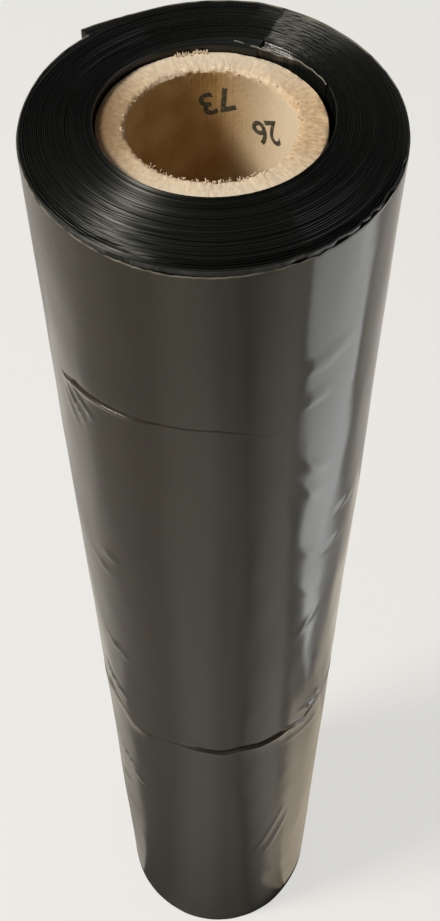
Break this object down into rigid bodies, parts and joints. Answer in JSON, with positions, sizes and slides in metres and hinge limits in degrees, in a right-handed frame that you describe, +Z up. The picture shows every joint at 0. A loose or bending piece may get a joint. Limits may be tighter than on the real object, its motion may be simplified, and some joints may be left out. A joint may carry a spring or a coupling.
{
  "type": "roll of plastic sheeting",
  "caption": "Roll of folded black plastic sheeting wound on a cardboard core, standing on one end, with a loose tail and creased outer wrap.",
  "frame": {"origin": "centre of the core's lower end, on the surface that the roll stands on", "axes": "+Z up along the core, -Y towards the side that the roll has lain on, which the picture faces, +X to the picture's right"},
  "size_m": [0.1721, 0.1799, 0.9],
  "materials": {
    "film": "satin black polyethylene film",
    "cardboard": "raw brown core board with a saw-cut end"
  },
  "bodies": {
    "root": {"film_roll": "film", "core_tube": "cardboard"}
  },
  "joints": []
}
